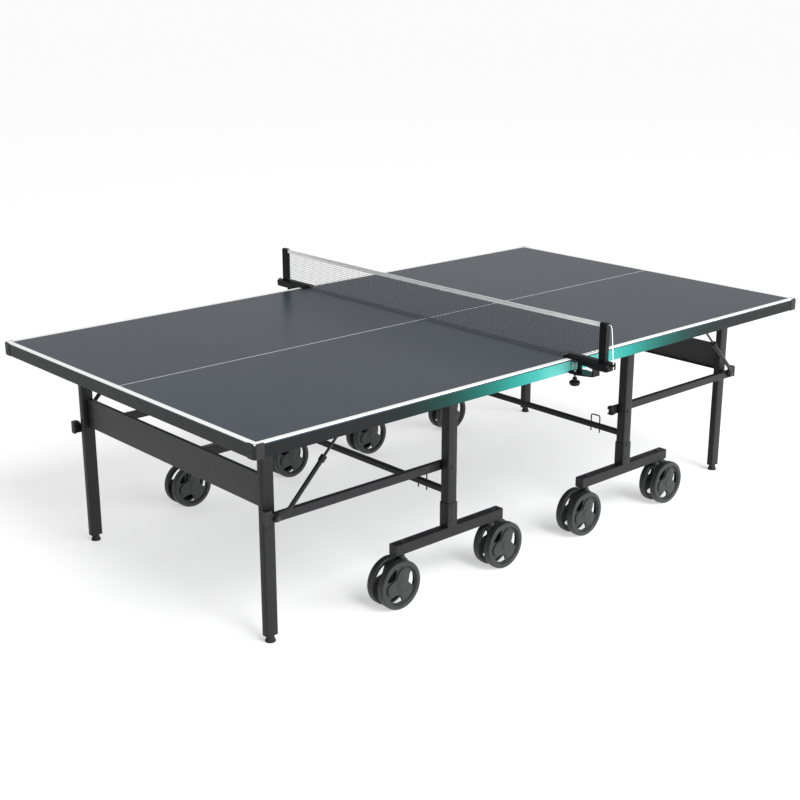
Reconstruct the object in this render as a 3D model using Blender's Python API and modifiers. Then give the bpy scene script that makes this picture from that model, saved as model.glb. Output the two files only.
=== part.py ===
"""A full-size table tennis table: two folding halves on twin-wheel castor trolleys, and a clamp-on net.

Metres, +Z up. The origin is on the floor under the middle of the net line, X runs along the table and
half A is on the -X side. Each half is the mirror image of the other.
"""

import math

import bmesh
import bpy
from mathutils import Matrix, Vector

# Playing surface
TABLE_LENGTH = 2.74
TABLE_WIDTH = 1.525
TABLE_HEIGHT = 0.76
BOARD_THICKNESS = 0.006
HALF_GAP = 0.001  # from the net line to the inner edge of each half
APRON_BOTTOM = 0.714
APRON_THICKNESS = 0.020

# Fold mechanism, as distances from the net line and heights above the floor
POST_X = 0.467
LEG_X = 1.179
TOP_PIVOT_Z = 0.720
RAIL_PIVOT_Z = 0.436
PIN_RADIUS = 0.005
PIVOT_RADIUS = 0.006
PIN_PLAY = 0.0006  # between a pin and its hole

# Steel tubes: (size along X, size along Y), or height and width for the level ones
LEG_SIZE = (0.044, 0.028)
LEG_Y = 0.5465
LEG_BOTTOM = 0.026
POST_SIZE = (0.0405, 0.038)
POST_Y = 0.619
POST_BOTTOM = 0.2228
TUBE_TOP = 0.735
WALL = 0.002
RAIL_Y = 0.587
RAIL_WIDTH = 0.020
RAIL_HEIGHT = 0.030
RAIL_ENDS = (0.430, 1.215)
BASE_ENDS = (0.218, 0.720)
BASE_WIDTH = 0.037
BASE_Z = (0.183, 0.222)
SOCKET_TOP = 0.309
CROSS_TUBE_X = 0.462
CROSS_TUBE_Z = 0.343
CROSS_TUBE_SIZE = 0.020
PANEL_X = (1.164, 1.178)
PANEL_Z = (0.448, 0.556)

# Diagonal stays, measured along the stay from the pin that it shares with the leg
STAY_Y = 0.624
STAY_EYE_Y = 0.6012
STAY_REACH = 0.420
STAY_SLOPE = math.radians(45)
STAY_TUBE = (0.050, 0.231)
STAY_TUBE_RADIUS = 0.0075
STAY_BORE_RADIUS = 0.0055
STAY_ROD_RADIUS = 0.0047
STAY_ROD_START = 0.200

# Castors
WHEEL_RADIUS = 0.086
WHEEL_INNER = 0.0125  # half the gap between the twin wheels
WHEEL_OUTER = 0.041
CASTOR_INSET = 0.038  # from a base tube's end to the swivel axis
CASTOR_TRAIL = 0.036
STEM_RADIUS = 0.0104
AXLE_RADIUS = 0.006

# Net set
NET_POST_Y = (0.868, 0.898)
NET_TOP = 0.9085
CLAMP_TOP = 0.770
CLAMP_BODY_BOTTOM = 0.742
CLAMP_END_Y = 0.922
SCREW_AT = (0.027, 0.7835)
CORD_RADIUS = 0.0013

GAP = 0.0003
SIDES = (("near", -1), ("far", 1))
HALVES = (("a", -1), ("b", 1))


def clear_scene():
    for obj in list(bpy.data.objects):
        bpy.data.objects.remove(obj, do_unlink=True)


def new_collection(name):
    collection = bpy.data.collections.new(name)
    bpy.context.scene.collection.children.link(collection)
    return collection


clear_scene()
PARTS = new_collection("table_tennis_table")
CUTTERS = new_collection("cutters_and_joined_shapes")


def material(name, color, roughness, metallic=0.0):
    made = bpy.data.materials.new(name)
    made.use_nodes = True
    shader = made.node_tree.nodes["Principled BSDF"]
    shader.inputs["Base Color"].default_value = (*color, 1.0)
    shader.inputs["Roughness"].default_value = roughness
    shader.inputs["Metallic"].default_value = metallic
    return made


BOARD = material("board_slate_blue", (0.060, 0.078, 0.098), 0.38)
APRON = material("apron_paint", (0.020, 0.022, 0.022), 0.45)
STEEL = material("black_powder_coat", (0.022, 0.022, 0.022), 0.5)
RUBBER = material("foot_rubber", (0.012, 0.012, 0.012), 0.8)
CASTOR = material("castor_plastic", (0.030, 0.031, 0.031), 0.55)
CLAMP = material("clamp_plastic", (0.012, 0.012, 0.012), 0.45)
BRIGHT = material("zinc_plate", (0.62, 0.62, 0.63), 0.3, 1.0)
NET = material("net_cord", (0.10, 0.10, 0.11), 0.9)
CORD = material("white_cord", (0.82, 0.82, 0.80), 0.8)


def link(obj, finish=None, helper=False):
    (CUTTERS if helper else PARTS).objects.link(obj)
    if helper:
        obj.hide_render = True
        obj.display_type = "WIRE"
    if finish:
        obj.data.materials.append(finish)
    return obj


def from_bmesh(name, shape, at=(0, 0, 0)):
    mesh = bpy.data.meshes.new(name)
    shape.to_mesh(mesh)
    shape.free()
    obj = bpy.data.objects.new(name, mesh)
    obj.location = at
    return obj


def box(name, low, high):
    """A box from its lowest to its highest corner, with its origin at its middle."""
    low, high = Vector([min(pair) for pair in zip(low, high)]), Vector([max(pair) for pair in zip(low, high)])
    shape = bmesh.new()
    bmesh.ops.create_cube(shape, size=1.0)
    bmesh.ops.scale(shape, vec=high - low, verts=shape.verts)
    return from_bmesh(name, shape, (low + high) / 2)


def cylinder(name, start, end, radius, sides=16):
    """A cylinder between two points. One of its corners is on the lowest line of a level one."""
    start, end = Vector(start), Vector(end)
    shape = bmesh.new()
    bmesh.ops.create_cone(
        shape, cap_ends=True, segments=sides, radius1=radius, radius2=radius, depth=(end - start).length
    )
    obj = from_bmesh(name, shape, (start + end) / 2)
    obj.rotation_euler = (end - start).to_track_quat("Z", "Y").to_euler()
    shade_round(obj)
    return obj


def shade_round(obj):
    obj.data.shade_smooth()
    obj.data.set_sharp_from_angle(angle=math.radians(35))


def boolean(target, other, operation):
    link(other, helper=True)
    modifier = target.modifiers.new(operation.lower(), "BOOLEAN")
    modifier.operation = operation
    modifier.object = other
    return target


def join(target, *others):
    for other in others:
        boolean(target, other, "UNION")
    return target


def cut(target, *others):
    for other in others:
        boolean(target, other, "DIFFERENCE")
    return target


def baked(obj):
    """The object's curve or modifiers made one mesh in world space, so that copies or a Boolean can use it."""
    if not obj.users_collection:
        link(obj, helper=True)
    bpy.context.view_layer.update()
    evaluated = obj.evaluated_get(bpy.context.evaluated_depsgraph_get())
    mesh = bpy.data.meshes.new_from_object(evaluated)
    shape = bmesh.new()
    shape.from_mesh(mesh)
    bmesh.ops.remove_doubles(shape, verts=shape.verts, dist=1e-6)
    shape.to_mesh(mesh)
    shape.free()
    name, matrix = obj.name, obj.matrix_world.copy()
    helpers = [modifier.object for modifier in obj.modifiers if modifier.type == "BOOLEAN"]
    bpy.data.objects.remove(obj, do_unlink=True)
    mesh.transform(matrix)
    made = bpy.data.objects.new(name, mesh)
    for helper in helpers:
        bpy.data.objects.remove(helper, do_unlink=True)
    shade_round(made)
    return made


def tube_curve(name, points, radius, resolution=2):
    """A round wire or cord through the points, as a mesh."""
    curve = bpy.data.curves.new(name, "CURVE")
    curve.dimensions = "3D"
    curve.bevel_depth = radius
    curve.bevel_resolution = resolution
    curve.use_fill_caps = True
    spline = curve.splines.new("POLY")
    spline.points.add(len(points) - 1)
    for point, place in zip(spline.points, points):
        point.co = (*place, 1.0)
    return bpy.data.objects.new(name, curve)


def plate_outline(name, outline, thickness):
    """A flat plate in the XZ plane, centred on Y = 0, from the corners of its outline."""
    curve = bpy.data.curves.new(name, "CURVE")
    curve.dimensions = "2D"
    curve.fill_mode = "BOTH"
    curve.extrude = thickness / 2
    spline = curve.splines.new("POLY")
    spline.use_cyclic_u = True
    spline.points.add(len(outline) - 1)
    for point, (x, z) in zip(spline.points, outline):
        point.co = (x, z, 0.0, 1.0)
    obj = bpy.data.objects.new(name, curve)
    obj.rotation_euler = (math.radians(90), 0, 0)
    return baked(obj)


def arc(centre, radius, start, end, count):
    """Points round a centre, with the angles in degrees."""
    steps = (math.radians(start + (end - start) * i / (count - 1)) for i in range(count))
    return [(centre[0] + radius * math.cos(a), centre[1] + radius * math.sin(a)) for a in steps]


def turned(name, profile, steps):
    """A shape turned about Z from (radius, height) points that run from top to bottom on the outside."""
    mesh = bpy.data.meshes.new(name)
    count = len(profile)
    mesh.from_pydata([(r, 0, z) for r, z in profile], [(i, i + 1) for i in range(count - 1)], [])
    obj = bpy.data.objects.new(name, mesh)
    screw = obj.modifiers.new("turn", "SCREW")
    screw.steps = steps
    screw.render_steps = steps
    screw.use_merge_vertices = True
    screw.merge_threshold = 1e-5
    return obj


def hollow(name, low, high, axis, wall=WALL, closed=0.0):
    """A square tube along an axis (0, 1 or 2). Its low end has a floor of the given thickness."""
    low, high = [min(pair) for pair in zip(low, high)], [max(pair) for pair in zip(low, high)]
    obj = box(name, low, high)
    inner_low = [value + wall for value in low]
    inner_high = [value - wall for value in high]
    inner_low[axis] = low[axis] + closed if closed else low[axis] - 0.01
    inner_high[axis] = high[axis] + 0.01
    return cut(obj, box(name + "_bore", inner_low, inner_high))


def pivot(name, place, parent=None):
    """An empty on a joint's axis, which the pieces that turn or slide there hang from."""
    empty = bpy.data.objects.new(name, None)
    empty.location = place
    empty.empty_display_size = 0.05
    PARTS.objects.link(empty)
    if parent:
        attach(parent, empty)
    return empty


def attach(parent, *pieces):
    bpy.context.view_layer.update()
    for piece in pieces:
        piece.parent = parent
        piece.matrix_parent_inverse = parent.matrix_world.inverted()


def mirrored(low, high, s):
    """The box corners of half B turned into those of the half on side s."""
    return (s * low[0], *low[1:]), (s * high[0], *high[1:])


# One half of the table


def board(tag, s):
    low, high = mirrored(
        (HALF_GAP, -TABLE_WIDTH / 2, TABLE_HEIGHT - BOARD_THICKNESS),
        (TABLE_LENGTH / 2, TABLE_WIDTH / 2, TABLE_HEIGHT),
        s,
    )
    return link(box("tabletop_" + tag, low, high), BOARD)


def apron_frame(tag, s):
    """The steel frame under a board: end and side aprons, inner rail, stiffeners and hinge brackets."""
    top = TABLE_HEIGHT - BOARD_THICKNESS - GAP
    end, side = TABLE_LENGTH / 2, TABLE_WIDTH / 2
    inside = side - APRON_THICKNESS
    flange_bottom = 0.7455
    members = [
        ((HALF_GAP, inside, APRON_BOTTOM), (end - 0.005, side, top)),
        ((HALF_GAP, -side, APRON_BOTTOM), (end - 0.005, -inside, top)),
        ((HALF_GAP, -inside - 0.01, flange_bottom), (0.030, inside + 0.01, top - 0.0002)),
        ((HALF_GAP, -0.585, 0.733), (0.026, 0.585, top - 0.0004)),
    ]
    members += [((0.02, y - 0.02, 0.740), (end - 0.01, y + 0.02, top - 0.0006)) for y in (-0.3, 0.3)]
    for _, side_sign in SIDES:
        for x, plate_y in ((POST_X, POST_Y + POST_SIZE[1] / 2), (LEG_X, LEG_Y + LEG_SIZE[1] / 2)):
            inner, outer = side_sign * (plate_y + 0.003), side_sign * (plate_y + 0.008)
            members.append(((x - 0.03, inner, 0.704), (x + 0.03, outer, top - 0.0008)))
            members.append(((x - 0.03, inner, flange_bottom), (x + 0.03, side_sign * (inside + 0.01), top - 0.001)))
        track = (side_sign * (STAY_Y - 0.010), side_sign * (STAY_Y + 0.010))
        members.append(((0.53, track[0], flange_bottom), (0.94, track[1], top - 0.0012)))
        for x in (0.56, 0.90):
            members.append(
                ((x, side_sign * STAY_Y, flange_bottom + 0.001), (x + 0.03, side_sign * (inside + 0.01), top - 0.0014))
            )
    frame = box("apron_frame_" + tag, *mirrored((end - APRON_THICKNESS, -side, APRON_BOTTOM), (end, side, top), s))
    for i, member in enumerate(members):
        join(frame, box(f"apron_{tag}_member_{i}", *mirrored(*member, s)))
    for side_name, side_sign in SIDES:
        for x, plate_y, reach in (
            (POST_X, POST_Y + POST_SIZE[1] / 2, POST_SIZE[1]),
            (LEG_X, LEG_Y + LEG_SIZE[1] / 2, LEG_SIZE[1]),
        ):
            join(
                frame,
                cylinder(
                    f"hinge_pin_{tag}_{side_name}_{x}",
                    (s * x, side_sign * (plate_y + 0.007), TOP_PIVOT_Z),
                    (s * x, side_sign * (plate_y - reach + 0.001), TOP_PIVOT_Z),
                    PIVOT_RADIUS,
                    12,
                ),
            )
    return link(frame, APRON)


def pin_hole(name, x, y, z, radius, half_length):
    return cylinder(name, (x, y - half_length, z), (x, y + half_length, z), radius, 16)


def leg(tag, s, side_name, y_sign):
    """A leg tube with the pin that carries the link rail and the stay."""
    x, y = s * LEG_X, y_sign * LEG_Y
    half = (LEG_SIZE[0] / 2, LEG_SIZE[1] / 2)
    tube = hollow(
        f"leg_{side_name}_{tag}",
        (x - half[0], y - half[1], LEG_BOTTOM),
        (x + half[0], y + half[1], TUBE_TOP),
        2,
        closed=0.008,
    )
    outer = y + y_sign * half[1]
    cut(
        tube,
        pin_hole(f"leg_hole_{side_name}_{tag}", x, y, TOP_PIVOT_Z, PIVOT_RADIUS + PIN_PLAY, 0.03),
        cylinder(f"leg_thread_{side_name}_{tag}", (x, y, 0.0), (x, y, 0.05), 0.0054, 12),
    )
    join(
        tube,
        cylinder(
            f"rail_pin_{side_name}_{tag}",
            (x, outer - y_sign * 0.0015, RAIL_PIVOT_Z),
            (x, y_sign * (STAY_EYE_Y + 0.0045), RAIL_PIVOT_Z),
            PIN_RADIUS,
            12,
        ),
        cylinder(
            f"rail_spacer_{side_name}_{tag}",
            (x, outer - y_sign * 0.0010, RAIL_PIVOT_Z),
            (x, y_sign * (RAIL_Y - RAIL_WIDTH / 2 - 0.0008), RAIL_PIVOT_Z),
            0.010,
            12,
        ),
        cylinder(
            f"rail_pin_head_{side_name}_{tag}",
            (x, y_sign * (STAY_EYE_Y + 0.0036), RAIL_PIVOT_Z),
            (x, y_sign * (STAY_EYE_Y + 0.0085), RAIL_PIVOT_Z),
            0.009,
            12,
        ),
    )
    return link(tube, STEEL)


def leveller(tag, s, side_name, y_sign):
    """A screw-in foot: a flared rubber cone on a threaded stem."""
    profile = [(0, 0.055), (0.005, 0.055), (0.005, 0.020), (0.011, 0.0195), (0.0125, 0.010)]
    profile += [(0.0178, 0.004), (0.0178, 0.0), (0, 0.0)]
    foot = turned(f"leveller_{side_name}_{tag}", profile, 20)
    foot.location = (s * LEG_X, y_sign * LEG_Y, 0)
    return link(foot, RUBBER)


def end_panel(tag, s):
    reach = LEG_Y - LEG_SIZE[1] / 2 - GAP
    low, high = mirrored((PANEL_X[0], -reach, PANEL_Z[0]), (PANEL_X[1], reach, PANEL_Z[1]), s)
    return link(box("leg_cross_panel_" + tag, low, high), STEEL)


def post(tag, s, side_name, y_sign):
    """A trolley post with the top hinge hole and the pin that carries the link rail."""
    x, y = s * POST_X, y_sign * POST_Y
    half = (POST_SIZE[0] / 2, POST_SIZE[1] / 2)
    tube = hollow(
        f"post_{side_name}_{tag}",
        (x - half[0], y - half[1], POST_BOTTOM),
        (x + half[0], y + half[1], TUBE_TOP),
        2,
    )
    cut(tube, pin_hole(f"post_hole_{side_name}_{tag}", x, y, TOP_PIVOT_Z, PIVOT_RADIUS + PIN_PLAY, 0.04))
    rail_inner = RAIL_Y - RAIL_WIDTH / 2
    join(
        tube,
        cylinder(
            f"post_pin_{side_name}_{tag}",
            (x, y + y_sign * (half[1] - 0.001), RAIL_PIVOT_Z),
            (x, y_sign * (rail_inner - 0.002), RAIL_PIVOT_Z),
            PIN_RADIUS,
            12,
        ),
        cylinder(
            f"post_pin_head_{side_name}_{tag}",
            (x, y_sign * (rail_inner - 0.001), RAIL_PIVOT_Z),
            (x, y_sign * (rail_inner - 0.005), RAIL_PIVOT_Z),
            0.008,
            12,
        ),
        cylinder(
            f"post_bolt_{side_name}_{tag}",
            (x, y + y_sign * (half[1] - 0.0008), RAIL_PIVOT_Z),
            (x, y + y_sign * (half[1] + 0.005), RAIL_PIVOT_Z),
            0.009,
            12,
        ),
    )
    return link(tube, STEEL)


def base(tag, s, side_name, y_sign):
    """The level tube that joins two castors, with the socket that the post stands in."""
    y = y_sign * POST_Y
    half = BASE_WIDTH / 2
    low, high = mirrored((BASE_ENDS[0], y - half, BASE_Z[0]), (BASE_ENDS[1], y + half, BASE_Z[1]), s)
    tube = hollow(f"castor_beam_{side_name}_{tag}", low, high, 0)
    x = s * POST_X
    bore = (POST_SIZE[0] / 2 + GAP, POST_SIZE[1] / 2 + GAP)
    join(
        tube,
        box(
            f"socket_{side_name}_{tag}",
            (x - bore[0] - WALL, y - bore[1] - WALL, BASE_Z[1] - 0.0012),
            (x + bore[0] + WALL, y + bore[1] + WALL, SOCKET_TOP),
        ),
    )
    cut(
        tube,
        box(
            f"socket_bore_{side_name}_{tag}",
            (x - bore[0], y - bore[1], BASE_Z[1] + 0.0004),
            (x + bore[0], y + bore[1], SOCKET_TOP + 0.01),
        ),
    )
    return link(tube, STEEL)


def cross_tube(tag, s):
    """The tube between the posts, with the wire loops that catch the folded half."""
    half = CROSS_TUBE_SIZE / 2
    reach = POST_Y - POST_SIZE[1] / 2 - GAP
    x = s * CROSS_TUBE_X
    tube = box("cross_tube_" + tag, (x - half, -reach, CROSS_TUBE_Z - half), (x + half, reach, CROSS_TUBE_Z + half))
    for side_name, y_sign in SIDES:
        y, arm, foot, head, corner = y_sign * 0.4825, 0.0215, 0.316, 0.386, 0.006
        route = [(x, y - arm, foot), (x, y - arm, head - corner)]
        route += [(x, y - arm + corner - c, z) for c, z in arc((0, head - corner), corner, 30, 90, 3)]
        route += [(x, y + arm - corner + c, z) for c, z in arc((0, head - corner), corner, 90, 30, 3)]
        route += [(x, y + arm, head - corner), (x, y + arm, foot)]
        join(tube, baked(tube_curve(f"catch_loop_{side_name}_{tag}", route, 0.0028)))
    return link(tube, STEEL)


def link_rail(tag, s, side_name, y_sign):
    """The level link from a post to a leg, which keeps the leg upright as the half folds."""
    y = y_sign * RAIL_Y
    half = (RAIL_WIDTH / 2, RAIL_HEIGHT / 2)
    low, high = mirrored(
        (RAIL_ENDS[0], y - half[0], RAIL_PIVOT_Z - half[1]), (RAIL_ENDS[1], y + half[0], RAIL_PIVOT_Z + half[1]), s
    )
    rail = hollow(f"link_rail_{side_name}_{tag}", low, high, 0, 0.0015)
    for x in (POST_X, LEG_X):
        cut(rail, pin_hole(f"rail_hole_{side_name}_{tag}_{x}", s * x, y, RAIL_PIVOT_Z, PIN_RADIUS + PIN_PLAY, 0.03))
    return link(rail, STEEL)


def stay_point(s, y_sign, along, y=STAY_Y):
    """A point on a stay's line, at a distance from the leg's pin."""
    return Vector(
        (s * (LEG_X - along * math.cos(STAY_SLOPE)), y_sign * y, RAIL_PIVOT_Z + along * math.sin(STAY_SLOPE))
    )


def stay_tube(tag, s, side_name, y_sign):
    """The lower, thicker part of a stay: an eye, a cranked arm, a tube and a collar."""
    name = f"stay_tube_{side_name}_{tag}"
    start, end = STAY_TUBE
    tube = cylinder(name, stay_point(s, y_sign, start), stay_point(s, y_sign, end), STAY_TUBE_RADIUS)
    crank = [stay_point(s, y_sign, along, y) for along, y in ((0.006, 0.6015), (0.018, 0.604), (0.040, 0.620))]
    crank.append(stay_point(s, y_sign, start + 0.004))
    join(
        tube,
        baked(tube_curve(name + "_crank", crank, 0.0055)),
        cylinder(name + "_collar", stay_point(s, y_sign, end - 0.012), stay_point(s, y_sign, end + 0.010), 0.011),
    )
    eye = stay_point(s, y_sign, 0, STAY_EYE_Y)
    across = Vector((0, y_sign * 0.0025, 0))
    join(tube, cylinder(name + "_eye", eye - across, eye + across, 0.0125))
    cut(
        tube,
        cylinder(name + "_bore", stay_point(s, y_sign, start + 0.012), stay_point(s, y_sign, end + 0.02), STAY_BORE_RADIUS),
        cylinder(name + "_eye_face", eye - 9 * across, eye - across, 0.02),
        cylinder(name + "_pin_hole", eye - 9 * across, eye + 9 * across, PIN_RADIUS + PIN_PLAY),
        cylinder(name + "_head_room", eye + 1.1 * across, eye + 3.6 * across, 0.0098),
    )
    return link(tube, STEEL)


def stay_rod(tag, s, side_name, y_sign):
    """The upper rod of a stay, which slides in the tube, with the shoe that runs under the board."""
    name = f"stay_rod_{side_name}_{tag}"
    rod = cylinder(
        name, stay_point(s, y_sign, STAY_ROD_START), stay_point(s, y_sign, STAY_REACH - 0.003), STAY_ROD_RADIUS, 12
    )
    shoe = stay_point(s, y_sign, STAY_REACH)
    across = Vector((0, 0.006, 0))
    join(rod, cylinder(name + "_shoe", shoe - across, shoe + across, 0.0085, 12))
    return link(rod, STEEL)


def castor_yoke_shape():
    """A yoke about its own swivel axis, trailing towards +X, with the stem on top."""
    axle = (CASTOR_TRAIL, WHEEL_RADIUS)
    outline = [(-0.017, 0.160), (-0.017, 0.148), (-0.004, 0.120)]
    outline += arc(axle, 0.020, 190, 400, 10)
    outline += [(0.042, 0.132), (0.022, 0.160)]
    yoke = plate_outline("castor_yoke_shape", outline, 2 * WHEEL_INNER - 0.003)
    join(yoke, cylinder("castor_stem", (0, 0, 0.150), (0, 0, BASE_Z[0] - 0.0005), STEM_RADIUS))
    cut(yoke, pin_hole("castor_bore", axle[0], 0, axle[1], AXLE_RADIUS + 0.0005, 0.03))
    return baked(yoke)


def castor_wheel_shape():
    """Two wheels on their axle, turned about Z: tread, raised rim, sunken web and hub cap on each side."""
    side = [(0.0, WHEEL_OUTER - 0.001), (0.024, WHEEL_OUTER - 0.001), (0.027, WHEEL_OUTER - 0.006)]
    side += [(0.066, WHEEL_OUTER - 0.006), (0.070, WHEEL_OUTER), (0.079, WHEEL_OUTER)]
    side += [(WHEEL_RADIUS, WHEEL_OUTER - 0.007), (WHEEL_RADIUS, WHEEL_INNER), (AXLE_RADIUS, WHEEL_INNER)]
    profile = side + [(radius, -height) for radius, height in reversed(side)]
    return baked(turned("castor_wheels_shape", profile, 20))


def castors(tag, s, trolley):
    """Four castors. The ones at a beam's outer ends trail outwards, and the others trail to the net."""
    for number, (end, y_sign) in enumerate(((1, -1), (0, -1), (1, 1), (0, 1)), 1):
        away = 1 if end else -1
        x = s * (BASE_ENDS[end] - away * CASTOR_INSET)
        swivel = pivot(f"castor_swivel_{number}_{tag}", (x, y_sign * POST_Y, BASE_Z[0]), trolley)
        turn = 0 if s * away > 0 else math.pi
        yoke = bpy.data.objects.new(f"castor_yoke_{number}_{tag}", YOKE_SHAPE.data)
        yoke.location = (x, y_sign * POST_Y, 0)
        yoke.rotation_euler = (0, 0, turn)
        PARTS.objects.link(yoke)
        wheels = bpy.data.objects.new(f"castor_wheels_{number}_{tag}", WHEEL_SHAPE.data)
        wheels.location = (x + s * away * CASTOR_TRAIL, y_sign * POST_Y, WHEEL_RADIUS)
        wheels.rotation_euler = (math.radians(90), 0, 0)
        PARTS.objects.link(wheels)
        attach(swivel, yoke, wheels)


def half_table(tag, s):
    trolley = pivot("trolley_" + tag, (s * POST_X, 0, 0))
    fold = pivot("fold_axis_" + tag, (s * POST_X, 0, TOP_PIVOT_Z), trolley)
    leg_axis = pivot("leg_axis_" + tag, (s * LEG_X, 0, TOP_PIVOT_Z), fold)
    stay_axis = pivot("stay_axis_" + tag, (s * LEG_X, 0, RAIL_PIVOT_Z), leg_axis)
    rail_axis = pivot("rail_axis_" + tag, (s * POST_X, 0, RAIL_PIVOT_Z), trolley)
    attach(fold, board(tag, s), apron_frame(tag, s))
    attach(leg_axis, end_panel(tag, s))
    attach(trolley, cross_tube(tag, s))
    for side in SIDES:
        attach(leg_axis, leg(tag, s, *side), leveller(tag, s, *side))
        attach(trolley, post(tag, s, *side), base(tag, s, *side))
        attach(rail_axis, link_rail(tag, s, *side))
        attach(stay_axis, stay_tube(tag, s, *side), stay_rod(tag, s, *side))
    castors(tag, s, trolley)


# The net set


def net(lift):
    """The net as one thin sheet. It is cut away where it passes over the clamps."""
    reach = NET_POST_Y[0] - GAP
    clamp_inner = 0.722
    low, over_clamp = TABLE_HEIGHT + 0.0025, CLAMP_TOP + 0.001
    outline = [(-reach, NET_TOP), (-reach, over_clamp), (-clamp_inner, over_clamp), (-clamp_inner, low)]
    outline += [(clamp_inner, low), (clamp_inner, over_clamp), (reach, over_clamp), (reach, NET_TOP)]
    sheet = plate_outline("net", outline, 0.003)
    sheet.rotation_euler = (0, 0, math.radians(90))
    link(sheet, NET)
    attach(lift, sheet)


def turned_about_middle(pieces, y_sign):
    """The near clamp is modelled, and the far one is the same, turned half round about the net's middle."""
    if y_sign > 0:
        for piece in pieces:
            piece.matrix_world = Matrix.Rotation(math.pi, 4, "Z") @ piece.matrix_world
    bpy.context.view_layer.update()


def clamp_set(side_name, y_sign, lift):
    """A net post on its clamp, the clamp's lower jaw, and the screw that draws the jaw up."""
    bracket = box(f"net_post_{side_name}", (-0.020, -CLAMP_END_Y, CLAMP_BODY_BOTTOM), (0.020, -0.80, CLAMP_TOP))
    join(
        bracket,
        box("clamp_shoulder", (-0.034, -0.830, CLAMP_BODY_BOTTOM), (0.034, -0.7635, CLAMP_TOP - 0.0004)),
        box("clamp_upper_jaw", (-0.034, -0.768, TABLE_HEIGHT + GAP), (0.034, -0.724, CLAMP_TOP - 0.0004)),
        box("net_upright", (-0.009, -NET_POST_Y[1], CLAMP_TOP - 0.002), (0.009, -NET_POST_Y[0], NET_TOP)),
        box("cord_hook_left", (-0.007, -0.934, 0.764), (-0.0025, -CLAMP_END_Y + 0.002, 0.7692)),
        box("cord_hook_right", (0.0025, -0.934, 0.764), (0.007, -CLAMP_END_Y + 0.002, 0.7692)),
    )
    x, y = -SCREW_AT[0], -SCREW_AT[1]
    cut(
        bracket,
        cylinder("clamp_bore", (x, y, 0.73), (x, y, 0.7655), 0.0044),
        box("jaw_pocket", (-0.0205, -0.8005, 0.73), (-0.0055, -0.7835, 0.765)),
    )
    jaw = box(f"clamp_jaw_{side_name}", (-0.042, -0.857, 0.713), (0.030, -0.7640, 0.717))
    join(jaw, box("jaw_web", (-0.020, -0.800, 0.7165), (-0.006, -0.784, 0.7615)))
    cut(jaw, cylinder("jaw_bore", (x, y, 0.70), (x, y, 0.73), 0.0044))
    profile = [(0, 0.762), (0.004, 0.762), (0.004, 0.700), (0.008, 0.699), (0.009, 0.690), (0.0165, 0.687)]
    profile += [(0.0195, 0.681), (0.0175, 0.674), (0.009, 0.670), (0, 0.669)]
    screw = turned(f"clamp_screw_{side_name}", profile, 18)
    screw.location = (x, y, 0)
    for piece, finish in ((bracket, CLAMP), (jaw, CLAMP), (screw, BRIGHT)):
        link(piece, finish)
    helpers = [m.object for piece in (bracket, jaw) for m in piece.modifiers if m.type == "BOOLEAN"]
    bpy.context.view_layer.update()
    turned_about_middle([bracket, jaw, screw, *helpers], y_sign)
    attach(lift, bracket, jaw, screw)


CORD_ROUTE = [
    (0.0, -0.8985, 0.9020),
    (0.0, -0.9040, 0.9026),
    (0.0, -0.9090, 0.9010),
    (0.0, -0.9125, 0.8950),
    (0.0, -0.9145, 0.8850),
    (0.0, -0.9160, 0.8720),
    (0.0, -0.9180, 0.8550),
    (0.0, -0.9200, 0.8350),
    (0.0, -0.9220, 0.8150),
    (0.0, -0.9240, 0.7950),
    (0.0, -0.9262, 0.7780),
    (0.0, -0.9275, 0.7650),
    (0.0, -0.9280, 0.7500),
    (0.0, -0.9282, 0.7300),
    (0.0, -0.9283, 0.7050),
    (0.0, -0.9284, 0.6800),
    (0.0, -0.9285, 0.6450),
]


def smooth_route(points, spacing):
    """Points a given distance apart along a Catmull-Rom curve through the route's own points."""
    route = [Vector(point) for point in points]
    ends = [2 * route[0] - route[1], *route, 2 * route[-1] - route[-2]]
    fine = []
    for before, a, b, after in zip(ends, ends[1:], ends[2:], ends[3:]):
        for i in range(20):
            t = i / 20
            spread = (2 * before - 5 * a + 4 * b - after) * t**2 + (3 * (a - b) + after - before) * t**3
            fine.append((2 * a + (b - before) * t + spread) / 2)
    fine.append(route[-1])
    kept = [fine[0]]
    for point in fine:
        if (point - kept[-1]).length >= spacing:
            kept.append(point)
    if (kept[-1] - route[-1]).length < spacing / 2:
        kept.pop()
    kept.append(route[-1])
    return kept


def tension_cord(lift):
    """The free end of the net's tension cord: over the near post, through its hook and straight down."""
    route = smooth_route(CORD_ROUTE, 0.0075)
    cord = baked(tube_curve("tension_cord", route, CORD_RADIUS))
    link(cord, CORD)
    attach(lift, cord)


def net_set():
    lift = pivot("net_line", (0, 0, TABLE_HEIGHT))
    net(lift)
    for side_name, y_sign in SIDES:
        clamp_set(side_name, y_sign, lift)
    tension_cord(lift)


YOKE_SHAPE = castor_yoke_shape()
WHEEL_SHAPE = castor_wheel_shape()
for shape in (YOKE_SHAPE, WHEEL_SHAPE):
    shape.data.materials.append(CASTOR)

for half_tag, half_sign in HALVES:
    half_table(half_tag, half_sign)
net_set()
for shape in (YOKE_SHAPE, WHEEL_SHAPE):
    bpy.data.objects.remove(shape)
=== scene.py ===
import math

import bmesh
import bpy
from mathutils import Matrix, Vector


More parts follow.
